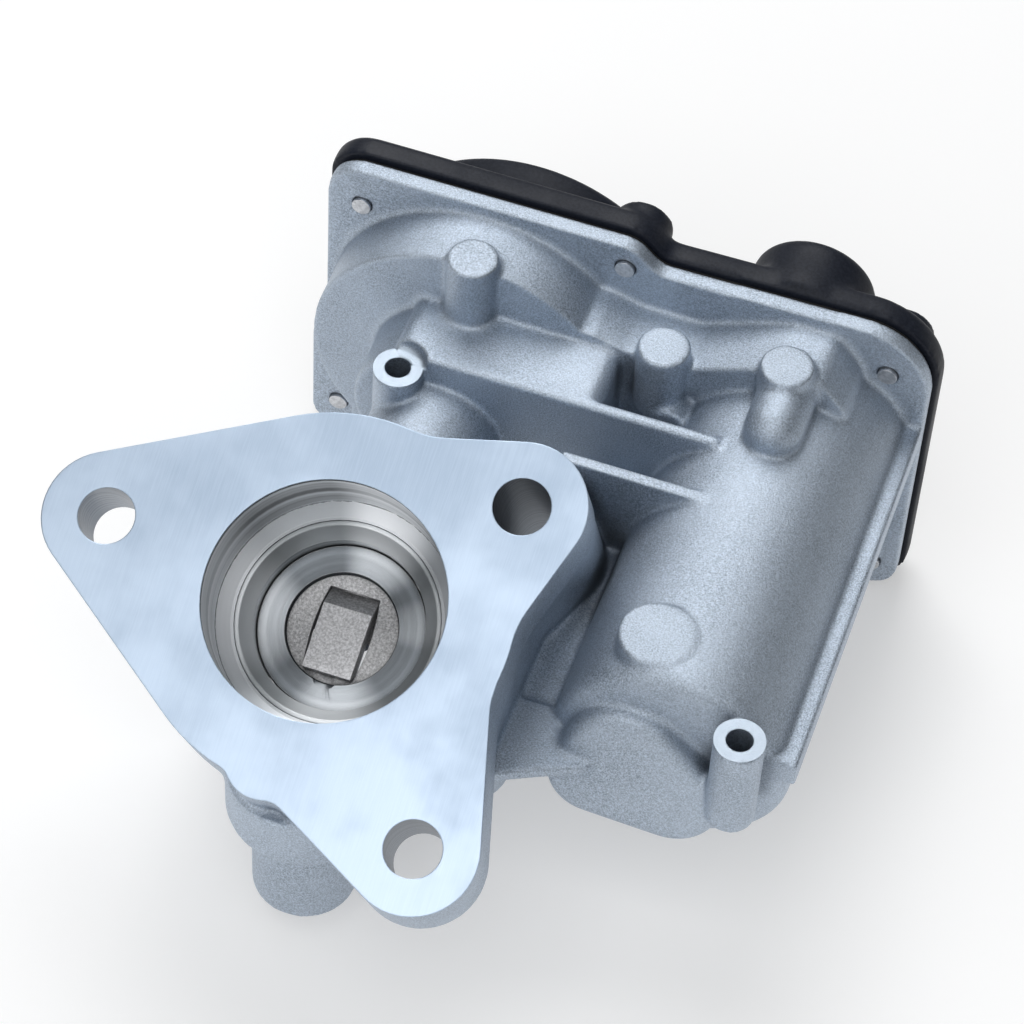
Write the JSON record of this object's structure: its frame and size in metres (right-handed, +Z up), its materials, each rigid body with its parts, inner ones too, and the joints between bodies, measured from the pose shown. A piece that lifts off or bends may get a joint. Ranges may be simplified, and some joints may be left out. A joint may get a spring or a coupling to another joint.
{
  "type": "exhaust gas recirculation valve",
  "caption": "Flap-type exhaust gas recirculation valve: slanted three-eared flange, duct with flap, motor can, gear case and black cover with connector.",
  "frame": {"origin": "centre of the inlet bore on the machined flange face", "axes": "+Y along the motor, gear and flap axes towards the cover, +Z up and out of the mounting posts, +X along the top edge of the gear case plate from the flap shaft to the motor; the flange face leans 25 degrees from +Z towards -Y"},
  "size_m": [0.1225, 0.1422, 0.0723],
  "materials": {
    "cast_aluminium": "blasted die-cast surface, machined bright on the flange face and post ends",
    "machined_steel": "turned, fine circular tool marks",
    "disc_steel": "turned rim, dull grey centre and tang",
    "plated_steel": "zinc plated, even satin",
    "spring_steel": "drawn wire, dark satin",
    "bearing_bronze": "sintered, matt",
    "copper": "lacquered",
    "magnet_ferrite": "sintered, matt dark grey",
    "cover_plastic": "moulded, satin black with a fine grain",
    "gear_plastic": "moulded, natural",
    "black_rubber": "matt",
    "terminal_tin": "tin plated",
    "board_laminate": "lacquered laminate"
  },
  "bodies": {
    "housing": {"valve_housing": "cast_aluminium", "seat_sleeve": "machined_steel", "shaft_front_bush": "bearing_bronze", "shaft_rear_bush": "bearing_bronze", "shaft_seal": "black_rubber", "return_spring": "spring_steel", "intermediate_pin": "machined_steel", "motor_case": "plated_steel", "motor_front_bush": "bearing_bronze", "motor_magnets": "magnet_ferrite", "motor_brushes": "magnet_ferrite", "brush_carrier": "gear_plastic", "motor_rear_bush": "bearing_bronze", "motor_mount_plate": "plated_steel", "motor_screws": "plated_steel", "cover_gasket": "black_rubber", "gear_cover": "cover_plastic", "cover_screws": "plated_steel", "connector_terminals": "terminal_tin", "sensor_board": "board_laminate"},
    "flap": {"flap_disc": "disc_steel", "flap_seal_ring": "machined_steel", "flap_shaft": "disc_steel", "output_gear": "gear_plastic", "sensor_magnet": "magnet_ferrite"},
    "intermediate": {"intermediate_gear": "gear_plastic"},
    "rotor": {"motor_pinion": "bearing_bronze", "motor_shaft": "machined_steel", "armature_core": "plated_steel", "armature_windings": "copper", "commutator": "copper"}
  },
  "joints": [
    {"name": "motor_turn", "type": "hinge", "parent": "housing", "child": "rotor", "pos_m": [0.0548, 0, -0.021], "axis": [0, 1, 0], "range_deg": [0, 1009.9]},
    {"name": "intermediate_turn", "type": "hinge", "parent": "housing", "child": "intermediate", "pos_m": [0.0296, 0, -0.02834], "axis": [0, 1, 0], "range_deg": [-211.8, 0]},
    {"name": "flap_turn", "type": "hinge", "parent": "housing", "child": "flap", "pos_m": [0, 0, -0.01912], "axis": [0, 1, 0], "range_deg": [0, 80], "stiffness_Nm_per_rad": 0.2, "springref_deg": -17.19}
  ],
  "couplings": [
    {"joint": "intermediate_turn", "follows": "motor_turn", "ratio": -0.20968},
    {"joint": "flap_turn", "follows": "motor_turn", "ratio": 0.079212}
  ]
}
